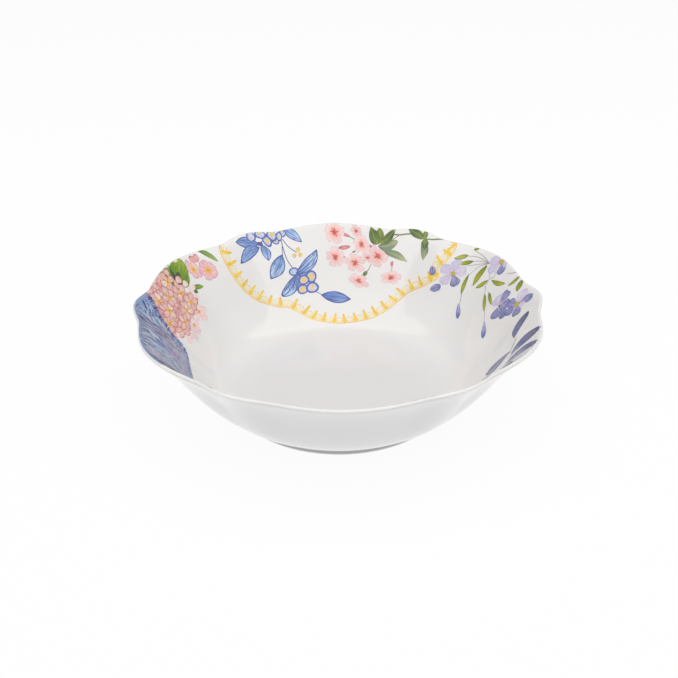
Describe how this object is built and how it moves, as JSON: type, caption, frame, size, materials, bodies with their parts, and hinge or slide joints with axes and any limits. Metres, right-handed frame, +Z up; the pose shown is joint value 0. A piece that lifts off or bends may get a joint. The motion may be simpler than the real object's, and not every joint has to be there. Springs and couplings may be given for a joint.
{
  "type": "porcelain serving bowl",
  "caption": "Open serving bowl in glazed white porcelain with a scalloped, flaring lip, a round foot ring and printed flower decoration inside.",
  "frame": {"origin": "centre of the foot ring's resting plane, which is the bottom centre of the bowl", "axes": "+Z up along the bowl's axis, +X through a narrow ear of the rim, +Y through a wide lobe"},
  "size_m": [0.2496, 0.2506, 0.0683],
  "materials": {
    "porcelain": "bare fired porcelain, matt where the foot ring is wiped",
    "clear_glaze": "clear gloss glaze over white porcelain",
    "gold_enamel": "printed gold-yellow enamel, fired gloss",
    "pink_enamel": "printed pink enamel, fired gloss",
    "blue_enamel": "printed blue enamel, fired gloss",
    "violet_enamel": "printed violet enamel, fired gloss",
    "slate_enamel": "printed slate-blue enamel, fired gloss"
  },
  "bodies": {
    "root": {"porcelain_body": "porcelain", "glaze_coat": "clear_glaze", "base_glaze": "clear_glaze", "slate_leaf_transfer": "slate_enamel", "plumbago_transfer": "violet_enamel", "medallion_transfer": "gold_enamel", "hydrangea_transfer": "pink_enamel", "lace_transfer": "blue_enamel", "lilac_spray_transfer": "violet_enamel", "front_medallion_transfer": "gold_enamel", "blossom_transfer": "pink_enamel"}
  },
  "joints": []
}
